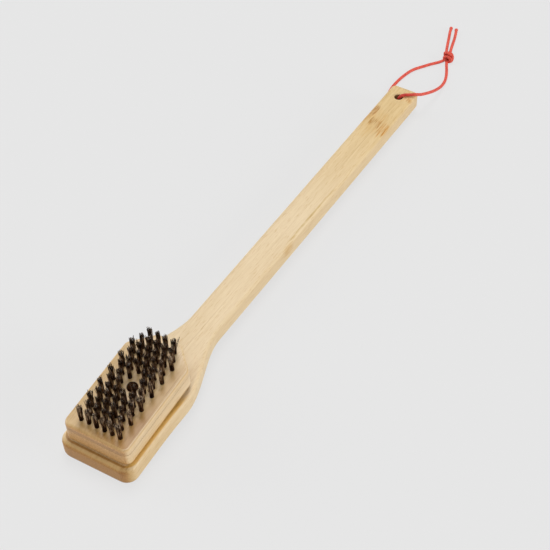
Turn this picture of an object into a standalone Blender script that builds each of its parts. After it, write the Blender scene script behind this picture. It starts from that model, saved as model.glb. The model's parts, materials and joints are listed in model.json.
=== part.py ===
"""Grill brush: a bent bamboo board, a bristle block screwed to it and a hanging cord.

Metres, +Z up. The brush lies on its back on a table, bristles up: on the lower front edge of its
head, and on the cord that passes under the far end of its handle. The origin is on the table,
under the middle of the brush without its cord. +X runs from the head to the handle's end.

The head's own frame, which carries every rigid piece, has its origin on the screw's axis where
the block seats on the board. It is tilted, because the board bends down just behind the screw.
"""

import math
import random

import bmesh
import bpy
from mathutils import Matrix, Vector

MM = 0.001

# Clearances
SEAT_GAP = 0.3 * MM
BORE_CLEARANCE = 0.3 * MM
CUT_OVERRUN = 4.0 * MM

# Bristle field: rows of tufts across the head, every other row shifted by half a pitch
TUFT_PITCH = 6.35 * MM
ROW_STEP = 6.4 * MM
ROW_COUNT = 13
WIDE_ROW_TUFT_COUNT = 6
LAST_ROW_TUFT_COUNT = 4
TUFT_RADIUS = 1.45 * MM
TUFT_TIP_RADIUS = 1.85 * MM
TUFT_HEIGHT = 15.0 * MM
STRANDS_PER_TUFT = 7
STRAND_INSET = 0.1 * MM
STRAND_TIP_SHARE = 0.6
STRAND_HEIGHT_SPREAD = 0.9 * MM
STRAND_TIP_SPREAD = 0.12 * MM
TUFT_LEAN = 0.3 * MM

# Slice of backing that holds the roots of one row
SLICE_HEIGHT = 2.0 * MM
SLICE_LIP = 0.4 * MM

# Bristle block: two bamboo plies, back corners clipped at 45 degrees
BLOCK_SIDE_MARGIN = 10.6 * MM
BLOCK_END_MARGIN = 9.0 * MM
FACE_PLY_THICKNESS = 5.6 * MM
BASE_PLY_THICKNESS = 11.1 * MM
BLOCK_CORNER_RADIUS = 6.0 * MM
BLOCK_CLIP = 16.5 * MM
BLOCK_TOP_ROUND = 2.2 * MM
BLOCK_BOTTOM_ROUND = 1.6 * MM

# Board: paddle, shoulders and handle in one piece of even thickness, lengths from the screw's axis
BOARD_THICKNESS = 15.2 * MM
BOARD_EDGE_ROUND = 3.0 * MM
PADDLE_SIDE_BORDER = 3.5 * MM
PADDLE_FRONT_BORDER = 5.4 * MM
PADDLE_CORNER_RADIUS = 9.0 * MM
SHOULDER_START = 20.0 * MM
SHOULDER_LENGTH = 70.0 * MM
SHOULDER_PULL_SHARES = (0.30, 0.71)
HANDLE_WIDTH = 24.4 * MM
HANDLE_REACH = 409.0 * MM
HANDLE_END_RADIUS = 4.0 * MM
BEND_ANGLE = math.radians(6.7)
BEND_START = 20.0 * MM
BEND_LENGTH = 32.0 * MM

# Hanging hole
HOLE_RADIUS = 3.4 * MM
HOLE_FROM_END = 14.6 * MM
HOLE_CHAMFER = 0.6 * MM

# Screw, its insert in the board and the two dowels that stop the block from turning
SCREW_HEAD_RADIUS = 4.2 * MM
SCREW_HEAD_HEIGHT = 2.8 * MM
SCREW_SLOT_WIDTH = 1.2 * MM
SCREW_SLOT_DEPTH = 1.3 * MM
SCREW_SHANK_RADIUS = 2.4 * MM
SCREW_TIP_LENGTH = 1.2 * MM
SCREW_ENGAGEMENT = 9.5 * MM
DRIVER_MARGIN = 0.8 * MM
INSERT_RADIUS = 4.0 * MM
INSERT_LENGTH = 10.5 * MM
INSERT_DEPTH = 1.4 * MM
INSERT_CHAMFER = 0.5 * MM
DOWEL_RADIUS = 3.0 * MM
DOWEL_IN_BOARD = 8.0 * MM
DOWEL_IN_BLOCK = 7.0 * MM
DOWEL_CHAMFER = 0.6 * MM
DOWEL_FORWARD = 30.0 * MM
DOWEL_SPREAD = 15.0 * MM

# Cord: a loop through the hanging hole, an overhand knot and two tails
CORD_DIAMETER = 2.3 * MM
CORD_HEADROOM = 0.6 * MM
KNOT_CENTRE = (304.8 * MM, -4.0 * MM, 3.75 * MM)
KNOT_WIND_RADIUS = 2.75 * MM
KNOT_WRAP_RADIUS = 1.35 * MM
KNOT_STRAND_RADIUS = 1.05 * MM
KNOT_TURN = math.radians(170.0)
KNOT_TILT = math.radians(28.0)
KNOT_LOBES = 3

# Routes of the cord, chosen by hand, in millimetres in the part's frame
LOOP_ROUTE_MM = (
    (299.9, -5.2, 1.3), (296.1, -7.0, 1.25), (289.8, -10.2, 1.25), (283.6, -13.0, 1.25),
    (276.3, -15.5, 1.8), (269.2, -16.9, 2.8), (261.5, -17.5, 4.6), (252.1, -17.2, 7.6),
    (243.5, -16.4, 11.0), (235.3, -15.3, 14.6), (228.8, -13.9, 17.6), (224.4, -11.2, 19.5),
    (221.2, -7.2, 19.75), (218.9, -4.0, 19.75), (217.6, -2.2, 19.2), (216.5, -0.7, 17.6), (216.0, 0.0, 15.3),
    (216.0, 0.0, 10.5), (216.1, 0.1, 5.9), (216.7, 0.9, 3.1), (217.7, 2.2, 1.8), (219.1, 4.2, 1.28),
    (222.4, 8.9, 1.25), (227.0, 14.2, 1.25), (234.0, 18.0, 1.25), (242.3, 19.4, 1.25),
    (249.4, 19.6, 1.25), (257.8, 19.1, 1.25), (265.1, 18.0, 1.25), (271.7, 16.5, 1.25),
    (277.2, 14.2, 1.25), (281.3, 11.6, 1.25), (285.5, 8.8, 1.25), (289.7, 6.0, 1.25),
    (293.3, 3.2, 1.25), (296.8, 0.6, 1.25), (300.5, -1.6, 1.3),
)
LEFT_TAIL_ROUTE_MM = (
    (308.5, -1.1, 2.9), (312.2, 1.0, 1.4), (316.3, 2.8, 1.25), (323.3, 5.4, 1.25), (333.3, 8.9, 1.25),
    (341.9, 12.0, 1.25), (348.6, 13.9, 1.25),
)
RIGHT_TAIL_ROUTE_MM = (
    (309.2, -3.9, 2.4), (313.2, -2.3, 1.3), (317.7, -0.6, 1.25), (325.2, 1.5, 1.25), (332.8, 3.5, 1.25),
    (340.2, 5.8, 1.25), (348.6, 8.8, 1.25),
)

# Smoothness of the round shapes
CORNER_STEPS = 6
EDGE_STEPS = 3
BEND_STEPS = 8
SHOULDER_STEPS = 12
HOLE_SIDES = 32
TUFT_HOLE_SIDES = 10
TURNED_SIDES = 24
KNOT_POINTS = 48
CORD_STEP_SHARE = 2.5
CORD_TURN = math.radians(16.0)
CORD_SAMPLES = 24
SHARP_ANGLE = math.radians(35.0)
RANDOM_SEED = 11

# Sizes that follow from the ones above
half_field_length = (ROW_COUNT - 1) * ROW_STEP / 2
half_field_width = (WIDE_ROW_TUFT_COUNT - 1) * TUFT_PITCH / 2
half_block_length = half_field_length + BLOCK_END_MARGIN
half_block_width = half_field_width + BLOCK_SIDE_MARGIN
half_paddle_width = half_block_width + PADDLE_SIDE_BORDER
board_front = -(half_block_length + PADDLE_FRONT_BORDER)
base_bottom = SEAT_GAP
base_top = base_bottom + BASE_PLY_THICKNESS
face_bottom = base_top + SEAT_GAP
face_top = face_bottom + FACE_PLY_THICKNESS
slice_half_width = TUFT_RADIUS + SLICE_LIP
bend_radius = BEND_LENGTH / BEND_ANGLE
screw_bore = SCREW_SHANK_RADIUS + BORE_CLEARANCE
screw_clear_radius = SCREW_HEAD_RADIUS + TUFT_TIP_RADIUS + DRIVER_MARGIN
cord_radius = CORD_DIAMETER / 2


def clear_scene():
    for obj in list(bpy.data.objects):
        bpy.data.objects.remove(obj, do_unlink=True)


def material(name, colour, roughness, metallic=0.0):
    mat = bpy.data.materials.new(name)
    mat.use_nodes = True
    shader = mat.node_tree.nodes["Principled BSDF"]
    shader.inputs["Base Color"].default_value = (*colour, 1.0)
    shader.inputs["Roughness"].default_value = roughness
    shader.inputs["Metallic"].default_value = metallic
    return mat


def add_object(name, data, parent=None, mat=None):
    obj = bpy.data.objects.new(name, data)
    bpy.context.collection.objects.link(obj)
    obj.parent = parent
    if mat:
        data.materials.append(mat)
    return obj


def finish_mesh(name, bm, parent=None, mat=None):
    bmesh.ops.recalc_face_normals(bm, faces=bm.faces)
    mesh = bpy.data.meshes.new(name)
    bm.to_mesh(mesh)
    bm.free()
    mesh.shade_smooth()
    mesh.set_sharp_from_angle(angle=SHARP_ANGLE)
    return add_object(name, mesh, parent, mat)


def cut(target, cutter):
    """Cut the cutter away from the target, and keep the cutter as a hidden guide."""
    cutter.hide_render = True
    cutter.display_type = "WIRE"
    boolean = target.modifiers.new(cutter.name, "BOOLEAN")
    boolean.operation = "DIFFERENCE"
    boolean.object = cutter


def arc(centre, radius, start, end, steps):
    """Points on an arc in the XY plane, both ends included."""
    angles = [start + (end - start) * i / steps for i in range(steps + 1)]
    return [Vector((centre[0] + radius * math.cos(a), centre[1] + radius * math.sin(a))) for a in angles]


def mirrored(right_side):
    """Close an outline from its right side, front to back: the left side comes back to the front."""
    return right_side + [Vector((p.x, -p.y)) for p in reversed(right_side)]


def inset(outline, distance):
    """Move every corner of a closed anticlockwise outline inward."""
    count = len(outline)
    moved = []
    for i, point in enumerate(outline):
        before = (point - outline[i - 1]).normalized()
        after = (outline[(i + 1) % count] - point).normalized()
        normal = Vector((-before.y - after.y, before.x + after.x)).normalized()
        square_on = normal.dot(Vector((-before.y, before.x)))
        moved.append(point + normal * distance / square_on)
    return moved


def slab(outline, top, bottom, top_round, bottom_round, place=None):
    """A flat piece with rounded rims. Its outline is mirrored about X, so its faces pair up."""
    def quarter(i):
        angle = math.pi / 2 * i / EDGE_STEPS
        return 1 - math.sin(angle), 1 - math.cos(angle)

    levels = []
    for i in range(EDGE_STEPS + 1):
        inward, down = quarter(i)
        levels.append((inward * top_round, top - down * top_round))
    for i in reversed(range(EDGE_STEPS + 1)):
        inward, up = quarter(i)
        levels.append((inward * bottom_round, bottom + up * bottom_round))
    bm = bmesh.new()
    rings = []
    for inward, height in levels:
        places = [(p.x, p.y, height) for p in inset(outline, inward)]
        rings.append([bm.verts.new(place(*p) if place else p) for p in places])
    count = len(outline)
    for upper, lower in zip(rings, rings[1:]):
        for i in range(count):
            j = (i + 1) % count
            bm.faces.new((upper[i], lower[i], lower[j], upper[j]))
    for ring in (rings[0], rings[-1]):
        for i in range(count // 2 - 1):
            bm.faces.new((ring[i], ring[i + 1], ring[-2 - i], ring[-1 - i]))
    return bm


def add_prism(bm, x, y, bottom, top, radius, sides):
    """A round bar along Z, added to a mesh that may hold others."""
    bottom_ring = []
    top_ring = []
    for i in range(sides):
        angle = math.tau * (i + 1 / 2) / sides
        px = x + radius * math.cos(angle)
        py = y + radius * math.sin(angle)
        bottom_ring.append(bm.verts.new((px, py, bottom)))
        top_ring.append(bm.verts.new((px, py, top)))
    bm.faces.new(reversed(bottom_ring))
    bm.faces.new(top_ring)
    for i in range(sides):
        j = (i + 1) % sides
        bm.faces.new((bottom_ring[i], bottom_ring[j], top_ring[j], top_ring[i]))


def add_box(bm, low, high):
    matrix_corners = [(x, y, z) for z in (low[2], high[2]) for y in (low[1], high[1]) for x in (low[0], high[0])]
    verts = [bm.verts.new(c) for c in matrix_corners]
    for face in ((0, 2, 3, 1), (4, 5, 7, 6), (0, 1, 5, 4), (2, 6, 7, 3), (0, 4, 6, 2), (1, 3, 7, 5)):
        bm.faces.new([verts[i] for i in face])


def turned(profile, sides=TURNED_SIDES):
    """Turn a profile of (radius, height) points about Z. A point of radius zero closes an end."""
    bm = bmesh.new()
    rings = []
    for radius, height in profile:
        if radius == 0:
            rings.append([bm.verts.new((0, 0, height))])
            continue
        angles = [math.tau * i / sides for i in range(sides)]
        rings.append([bm.verts.new((radius * math.cos(a), radius * math.sin(a), height)) for a in angles])
    for ring, above in zip(rings, rings[1:]):
        for i in range(sides):
            j = (i + 1) % sides
            corners = [ring[i % len(ring)], ring[j % len(ring)], above[j % len(above)], above[i % len(above)]]
            bm.faces.new(list(dict.fromkeys(corners)))
    return bm


def bent(u, y, height):
    """Place a point of the flat board, u along it from the screw, on the bent board."""
    along = u + BEND_START
    turn = min(max(along / bend_radius, 0), BEND_ANGLE)
    straight = along - turn * bend_radius
    reach = bend_radius + height
    x = reach * math.sin(turn) + straight * math.cos(turn) - BEND_START
    z = reach * math.cos(turn) - straight * math.sin(turn) - bend_radius
    return x, y, z


def table_pose():
    """Tilt and origin of the head's frame on the table, from the two rims that it lies on."""
    rim = BOARD_EDGE_ROUND
    front_low = Vector((board_front + rim, rim - BOARD_THICKNESS))
    end_low = Vector(bent(HANDLE_REACH - rim, 0, rim - BOARD_THICKNESS)).xz
    end_high = Vector(bent(HANDLE_REACH - rim, 0, -rim)).xz
    front_high = Vector((board_front + rim, -rim))
    span = end_low - front_low
    lift = CORD_DIAMETER + CORD_HEADROOM
    tilt = math.asin(lift / span.length) - math.atan2(span.y, span.x)

    def on_table(point):
        across = point.x * math.cos(tilt) - point.y * math.sin(tilt)
        return across, point.x * math.sin(tilt) + point.y * math.cos(tilt)

    left = min(on_table(front_low)[0], on_table(front_high)[0]) - rim
    right = max(on_table(end_low)[0], on_table(end_high)[0]) + rim
    return tilt, Vector((-(left + right) / 2, 0, rim - on_table(front_low)[1]))


def board_outline():
    """Right side of the flat board, front to back, then its mirror image."""
    front = arc((board_front + PADDLE_CORNER_RADIUS, PADDLE_CORNER_RADIUS - half_paddle_width),
                PADDLE_CORNER_RADIUS, math.pi, math.pi * 3 / 2, CORNER_STEPS)
    bend = [Vector((BEND_LENGTH * i / BEND_STEPS - BEND_START, -half_paddle_width))
            for i in range(BEND_STEPS + 1)]
    half_handle = HANDLE_WIDTH / 2
    start = Vector((SHOULDER_START, -half_paddle_width))
    end = Vector((SHOULDER_START + SHOULDER_LENGTH, -half_handle))
    pull_out = Vector((start.x + SHOULDER_PULL_SHARES[0] * SHOULDER_LENGTH, start.y))
    pull_in = Vector((start.x + SHOULDER_PULL_SHARES[1] * SHOULDER_LENGTH, end.y))
    shoulder = []
    for i in range(SHOULDER_STEPS + 1):
        t = i / SHOULDER_STEPS
        shoulder.append(start * (1 - t) ** 3 + pull_out * 3 * t * (1 - t) ** 2
                        + pull_in * 3 * t * t * (1 - t) + end * t ** 3)
    tip = arc((HANDLE_REACH - HANDLE_END_RADIUS, HANDLE_END_RADIUS - half_handle),
              HANDLE_END_RADIUS, -math.pi / 2, 0, CORNER_STEPS)
    return mirrored(front + bend + shoulder + tip)


def block_outline():
    """Both plies share this outline: round front corners, and back corners clipped and rounded."""
    radius = BLOCK_CORNER_RADIUS
    front = arc((radius - half_block_length, radius - half_block_width), radius,
                math.pi, math.pi * 3 / 2, CORNER_STEPS)
    pull = radius * math.tan(math.pi / 8)
    side = arc((half_block_length - BLOCK_CLIP - pull, radius - half_block_width), radius,
               -math.pi / 2, -math.pi / 4, CORNER_STEPS)
    back = arc((half_block_length - radius, BLOCK_CLIP + pull - half_block_width), radius,
               -math.pi / 4, 0, CORNER_STEPS)
    return mirrored(front + side + back)


def row_groups():
    """Name, place along X and tuft places along Y of each slice. Tufts that would foul the screw
    are left out, and a row that would cross the screw's bore is held by two slices."""
    groups = []
    for row in range(ROW_COUNT):
        x = row * ROW_STEP - half_field_length
        count = WIDE_ROW_TUFT_COUNT - row % 2
        if row == ROW_COUNT - 1:
            count = LAST_ROW_TUFT_COUNT
        tufts = [(i - (count - 1) / 2) * TUFT_PITCH for i in range(count)]
        tufts = [y for y in tufts if math.hypot(x, y) > screw_clear_radius]
        name = f"tuft_row_{row + 1:02d}"
        if abs(x) > screw_bore + slice_half_width:
            groups.append((name, x, tufts))
        else:
            groups.append((name + "_right", x, [y for y in tufts if y < 0]))
            groups.append((name + "_left", x, [y for y in tufts if y > 0]))
    return groups


def handle_board(head, bamboo):
    board = finish_mesh("handle_board", slab(board_outline(), 0, -BOARD_THICKNESS, BOARD_EDGE_ROUND,
                                             BOARD_EDGE_ROUND, bent), head, bamboo)
    hole = turned([(0, -BOARD_THICKNESS - CUT_OVERRUN),
                   (HOLE_RADIUS + HOLE_CHAMFER + CUT_OVERRUN, -BOARD_THICKNESS - CUT_OVERRUN),
                   (HOLE_RADIUS, HOLE_CHAMFER - BOARD_THICKNESS),
                   (HOLE_RADIUS, -HOLE_CHAMFER),
                   (HOLE_RADIUS + HOLE_CHAMFER + CUT_OVERRUN, CUT_OVERRUN),
                   (0, CUT_OVERRUN)], HOLE_SIDES)
    hanging_hole = finish_mesh("hanging_hole_cutter", hole, head)
    hanging_hole.location = bent(HANDLE_REACH - HOLE_FROM_END, 0, 0)
    hanging_hole.rotation_euler = (0, BEND_ANGLE, 0)
    cut(board, hanging_hole)
    pockets = bmesh.new()
    add_prism(pockets, 0, 0, -(INSERT_DEPTH + INSERT_LENGTH + SEAT_GAP), CUT_OVERRUN,
              INSERT_RADIUS + BORE_CLEARANCE, TURNED_SIDES)
    for side in (-1, 1):
        add_prism(pockets, -DOWEL_FORWARD, side * DOWEL_SPREAD, -(DOWEL_IN_BOARD + SEAT_GAP), CUT_OVERRUN,
                  DOWEL_RADIUS + BORE_CLEARANCE, TURNED_SIDES)
    cut(board, finish_mesh("board_pockets_cutter", pockets, head))
    return board


def block_base(head, bamboo):
    """Lower ply of the block, grooved on top for the slices."""
    base = finish_mesh("block_base", slab(block_outline(), base_top, base_bottom, 0, BLOCK_BOTTOM_ROUND),
                       head, bamboo)
    grooves = bmesh.new()
    half_width = slice_half_width + BORE_CLEARANCE
    for _, x, tufts in row_groups():
        add_box(grooves, (x - half_width, min(tufts) - half_width, base_top - SLICE_HEIGHT - SEAT_GAP),
                (x + half_width, max(tufts) + half_width, base_top + CUT_OVERRUN))
    cut(base, finish_mesh("grooves_cutter", grooves, head))
    bores = bmesh.new()
    add_prism(bores, 0, 0, base_bottom - CUT_OVERRUN, base_top + CUT_OVERRUN, screw_bore, TURNED_SIDES)
    for side in (-1, 1):
        add_prism(bores, -DOWEL_FORWARD, side * DOWEL_SPREAD, base_bottom - CUT_OVERRUN,
                  base_bottom + DOWEL_IN_BLOCK + SEAT_GAP, DOWEL_RADIUS + BORE_CLEARANCE, TURNED_SIDES)
    cut(base, finish_mesh("base_bores_cutter", bores, head))
    return base


def block_face(head, bamboo):
    """Upper ply of the block, drilled for the tufts and the screw."""
    face = finish_mesh("block_face", slab(block_outline(), face_top, face_bottom, BLOCK_TOP_ROUND, 0),
                       head, bamboo)
    bores = bmesh.new()
    low, high = face_bottom - CUT_OVERRUN, face_top + CUT_OVERRUN
    add_prism(bores, 0, 0, low, high, screw_bore, TURNED_SIDES)
    for _, x, tufts in row_groups():
        for y in tufts:
            add_prism(bores, x, y, low, high, TUFT_RADIUS + BORE_CLEARANCE, TUFT_HOLE_SIDES)
    cut(face, finish_mesh("face_bores_cutter", bores, head))
    return face


def tuft_row(name, x, tufts, head, wire, dice):
    """One row of tufts, whose round roots stand on one slice of backing between the plies."""
    bm = bmesh.new()
    low = base_top - SLICE_HEIGHT
    corners = [(x - slice_half_width, min(tufts) - slice_half_width),
               (x + slice_half_width, min(tufts) - slice_half_width),
               (x + slice_half_width, max(tufts) + slice_half_width),
               (x - slice_half_width, max(tufts) + slice_half_width)]
    bottom = [bm.verts.new((*c, low)) for c in corners]
    rim = [bm.verts.new((*c, base_top)) for c in corners]
    bm.faces.new(reversed(bottom))
    for i in range(len(corners)):
        j = (i + 1) % len(corners)
        bm.faces.new((bottom[i], bottom[j], rim[j], rim[i]))
    fill_edges = [bm.edges.get((rim[i - 1], rim[i])) for i in range(len(rim))]
    for y in tufts:
        fill_edges += tuft(bm, x, y, dice)
    bmesh.ops.triangle_fill(bm, use_beauty=True, edges=fill_edges)
    return finish_mesh(name, bm, head, wire)


def tuft(bm, x, y, dice):
    """A root through the drilled ply and its strands, and the open edges at its foot."""
    def ring(height):
        angles = [math.tau * i / STRANDS_PER_TUFT for i in range(STRANDS_PER_TUFT)]
        return [bm.verts.new((x + TUFT_RADIUS * math.cos(a), y + TUFT_RADIUS * math.sin(a), height))
                for a in angles]

    foot, top = ring(base_top), ring(face_top)
    middle = bm.verts.new((x, y, face_top))
    sectors = []
    for i in range(STRANDS_PER_TUFT):
        j = (i + 1) % STRANDS_PER_TUFT
        bm.faces.new((foot[i], foot[j], top[j], top[i]))
        sectors.append(bm.faces.new((top[i], top[j], middle)))
    for sector in sectors:
        sector.normal_update()
    bmesh.ops.inset_individual(bm, faces=sectors, thickness=STRAND_INSET)
    grown = bmesh.ops.extrude_discrete_faces(bm, faces=sectors)["faces"]
    lean = Vector((dice.uniform(-TUFT_LEAN, TUFT_LEAN), dice.uniform(-TUFT_LEAN, TUFT_LEAN), 0))
    for strand in grown:
        centre = strand.calc_center_median()
        outward = Vector((centre.x - x, centre.y - y, 0)).normalized()
        spread = TUFT_TIP_RADIUS + dice.uniform(-STRAND_TIP_SPREAD, STRAND_TIP_SPREAD)
        height = TUFT_HEIGHT + dice.uniform(-STRAND_HEIGHT_SPREAD, STRAND_HEIGHT_SPREAD)
        tip = Vector((x, y, face_top + height)) + outward * spread + lean
        for vert in strand.verts:
            vert.co = tip + (vert.co - centre) * STRAND_TIP_SHARE
    return [bm.edges.get((foot[i - 1], foot[i])) for i in range(STRANDS_PER_TUFT)]


def block_screw(head, steel):
    """Slotted pan head screw, its head on the block and its end in the insert."""
    seat = face_top + SEAT_GAP
    tip = -(INSERT_DEPTH + SCREW_ENGAGEMENT)
    dome = arc((0, 0), 1, 0, math.pi / 2, CORNER_STEPS)
    profile = [(0, tip), (SCREW_SHANK_RADIUS / 2, tip), (SCREW_SHANK_RADIUS, tip + SCREW_TIP_LENGTH),
               (SCREW_SHANK_RADIUS, seat)]
    profile += [(SCREW_HEAD_RADIUS * p.x, seat + SCREW_HEAD_HEIGHT * p.y) for p in dome[:-1]]
    profile.append((0, seat + SCREW_HEAD_HEIGHT))
    screw = finish_mesh("block_screw", turned(profile), head, steel)
    slot = bmesh.new()
    top = seat + SCREW_HEAD_HEIGHT
    reach = SCREW_HEAD_RADIUS + CUT_OVERRUN
    add_box(slot, (-SCREW_SLOT_WIDTH / 2, -reach, top - SCREW_SLOT_DEPTH),
            (SCREW_SLOT_WIDTH / 2, reach, top + CUT_OVERRUN))
    cut(screw, finish_mesh("screw_slot_cutter", slot, head))
    return screw


def threaded_insert(head, brass):
    top = -INSERT_DEPTH
    bottom = top - INSERT_LENGTH
    chamfer = INSERT_CHAMFER
    profile = [(screw_bore, bottom), (INSERT_RADIUS - chamfer, bottom), (INSERT_RADIUS, bottom + chamfer),
               (INSERT_RADIUS, top - chamfer), (INSERT_RADIUS - chamfer, top), (screw_bore, top),
               (screw_bore, bottom)]
    bm = turned(profile)
    bmesh.ops.remove_doubles(bm, verts=bm.verts, dist=SEAT_GAP / 2)
    return finish_mesh("threaded_insert", bm, head, brass)


def dowel(name, side, head, beech):
    bottom, top = -DOWEL_IN_BOARD, base_bottom + DOWEL_IN_BLOCK
    narrow = DOWEL_RADIUS - DOWEL_CHAMFER
    profile = [(0, bottom), (narrow, bottom), (DOWEL_RADIUS, bottom + DOWEL_CHAMFER),
               (DOWEL_RADIUS, top - DOWEL_CHAMFER), (narrow, top), (0, top)]
    pin = finish_mesh(name, turned(profile), head, beech)
    pin.location = (-DOWEL_FORWARD, side * DOWEL_SPREAD, 0)
    return pin


def smooth_route(route_mm):
    """Points on one smooth curve through a route, closer together where it bends."""
    route = [Vector(p) * MM for p in route_mm]
    knots = [0.0]
    for before, after in zip(route, route[1:]):
        knots.append(knots[-1] + (after - before).length)
    slopes = []
    for i in range(len(route)):
        a, b = max(i - 1, 0), min(i + 1, len(route) - 1)
        slopes.append((route[b] - route[a]) / (knots[b] - knots[a]))
    fine = []
    for i in range(len(route) - 1):
        span = knots[i + 1] - knots[i]
        for j in range(CORD_SAMPLES):
            t = j / CORD_SAMPLES
            fine.append(route[i] * (2 * t ** 3 - 3 * t ** 2 + 1) + slopes[i] * span * (t ** 3 - 2 * t ** 2 + t)
                        + route[i + 1] * (3 * t ** 2 - 2 * t ** 3) + slopes[i + 1] * span * (t ** 3 - t ** 2))
    fine.append(route[-1])
    kept = [fine[0]]
    heading = fine[1] - fine[0]
    run = turned_by = 0.0
    for before, after in zip(fine, fine[1:]):
        step = after - before
        run += step.length
        turned_by += heading.angle(step)
        heading = step
        if run >= CORD_STEP_SHARE * CORD_DIAMETER or turned_by >= CORD_TURN:
            kept.append(after)
            run = turned_by = 0.0
    kept[-1] = fine[-1]
    return kept


def cord_tube(name, points, radius, cyclic, red):
    curve = bpy.data.curves.new(name, "CURVE")
    curve.dimensions = "3D"
    curve.bevel_depth = radius
    curve.bevel_resolution = 2
    curve.use_fill_caps = True
    curve.render_resolution_u = 0
    spline = curve.splines.new("POLY")
    spline.points.add(len(points) - 1)
    for point, place in zip(spline.points, points):
        point.co = (*place, 1.0)
    spline.use_cyclic_u = cyclic
    return add_object(name, curve, None, red)


def cord_knot(red):
    """Overhand knot: one closed strand that winds twice round while it wraps three times."""
    centre = Vector(KNOT_CENTRE)
    tilt = Matrix.Rotation(-KNOT_TILT, 3, "Y")
    points = []
    for i in range(KNOT_POINTS):
        t = math.tau * i / KNOT_POINTS
        reach = KNOT_WIND_RADIUS + KNOT_WRAP_RADIUS * math.cos(KNOT_LOBES * t)
        angle = 2 * t + KNOT_TURN
        points.append(centre + tilt @ Vector((reach * math.cos(angle), reach * math.sin(angle),
                                              KNOT_WRAP_RADIUS * math.sin(KNOT_LOBES * t))))
    return cord_tube("cord_knot", points, KNOT_STRAND_RADIUS, True, red)


def main():
    clear_scene()
    bamboo = material("bamboo", (0.72, 0.53, 0.30), 0.5)
    block_bamboo = material("block_bamboo", (0.66, 0.47, 0.26), 0.5)
    wire = material("bristle_steel", (0.05, 0.035, 0.03), 0.45, 0.6)
    bronze = material("dark_screw", (0.08, 0.05, 0.035), 0.4, 0.8)
    brass = material("insert_brass", (0.6, 0.42, 0.16), 0.35, 1.0)
    beech = material("dowel_beech", (0.62, 0.42, 0.25), 0.6)
    red = material("red_cord", (0.62, 0.07, 0.05), 0.55)

    head = add_object("head_frame", None)
    tilt, place = table_pose()
    head.location = place
    head.rotation_euler = (0, -tilt, 0)

    handle_board(head, bamboo)
    block_base(head, block_bamboo)
    block_face(head, block_bamboo)
    dice = random.Random(RANDOM_SEED)
    for name, x, tufts in row_groups():
        tuft_row(name, x, tufts, head, wire, dice)
    block_screw(head, bronze)
    threaded_insert(head, brass)
    dowel("locating_dowel_left", 1, head, beech)
    dowel("locating_dowel_right", -1, head, beech)

    cord_tube("hanging_cord_loop", smooth_route(LOOP_ROUTE_MM), cord_radius, False, red)
    cord_knot(red)
    cord_tube("cord_tail_left", smooth_route(LEFT_TAIL_ROUTE_MM), cord_radius, False, red)
    cord_tube("cord_tail_right", smooth_route(RIGHT_TAIL_ROUTE_MM), cord_radius, False, red)


main()
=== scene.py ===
"""Looks of the grill brush: bamboo board and block, wire tufts, screw and hanging cord.

Lengths are in metres in the part's frame, as in the CAD. The head's frame has its origin on the
screw's axis, on the block's face, with x toward the handle and z out of the face.

A pair called RISE holds the value where a look starts and the value where it is full. A shade is
a colour that darkens the one under it.
"""

import json
import math
import random
from collections import namedtuple

import bmesh
import bpy
from mathutils import Matrix, Vector


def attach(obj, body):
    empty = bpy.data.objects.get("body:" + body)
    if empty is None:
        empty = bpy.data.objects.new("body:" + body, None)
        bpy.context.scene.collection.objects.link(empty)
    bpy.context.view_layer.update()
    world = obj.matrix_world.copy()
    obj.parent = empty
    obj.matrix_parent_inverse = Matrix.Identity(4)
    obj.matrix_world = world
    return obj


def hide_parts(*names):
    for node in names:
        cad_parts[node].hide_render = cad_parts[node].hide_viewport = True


MM = 0.001
X_AXIS = 0
Z_AXIS = 2

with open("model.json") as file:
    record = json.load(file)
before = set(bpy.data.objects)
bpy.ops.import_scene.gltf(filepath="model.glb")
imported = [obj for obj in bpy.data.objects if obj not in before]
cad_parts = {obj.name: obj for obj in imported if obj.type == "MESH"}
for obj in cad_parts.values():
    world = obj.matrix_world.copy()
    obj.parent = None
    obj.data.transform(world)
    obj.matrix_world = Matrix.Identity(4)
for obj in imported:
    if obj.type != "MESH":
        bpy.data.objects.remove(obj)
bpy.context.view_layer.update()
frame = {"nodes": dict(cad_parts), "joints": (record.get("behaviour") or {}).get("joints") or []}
nodes = frame["nodes"]
joints = {joint["name"]: joint for joint in frame["joints"]}

# Camera, from the perspective of the photograph
CAMERA_AZIMUTH = math.radians(-149.82)
CAMERA_ELEVATION = math.radians(45.12)
CAMERA_ROLL = math.radians(0.57)
CAMERA_DISTANCE = 1225.8 * MM
CAMERA_TARGET = (-4.43 * MM, -9.44 * MM, 0.0)
CAMERA_LENS_MM = 104.88
CAMERA_SENSOR_MM = 36.0
CAMERA_CLIP_START = 10.0 * MM

# Soft studio light: a key from behind and low fills from the sides, with their angles in degrees
WORLD_STRENGTH = 0.2
LAMPS = (
    # name, strength, width, azimuth, elevation
    ("key", 1.35, 28.0, 30.0, 70.0),
    ("right_fill", 1.6, 30.0, -80.0, 18.0),
    ("front_fill", 0.62, 40.0, -170.0, 35.0),
    ("left_fill", 1.1, 50.0, 100.0, 25.0),
)
FLOOR_SIZE = 6.0
FLOOR_GREY = 0.79
FLOOR_LIFT = 0.86

# Head: the middle and normal of the block's face, and the slopes on either side of the bend
FACE_CENTRE = Vector(joints["screw_turn"]["pos_m"])
FACE_NORMAL = Vector(joints["screw_turn"]["axis"])
HEAD_ALONG = Vector((FACE_NORMAL.z, 0, -FACE_NORMAL.x))
HEAD_SLOPE = HEAD_ALONG.z / HEAD_ALONG.x
HANDLE_SLOPE = math.tan(math.radians(-0.3))
BEND_X = -182.4 * MM
BEND_SOFTNESS = 3.0 * MM

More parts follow.
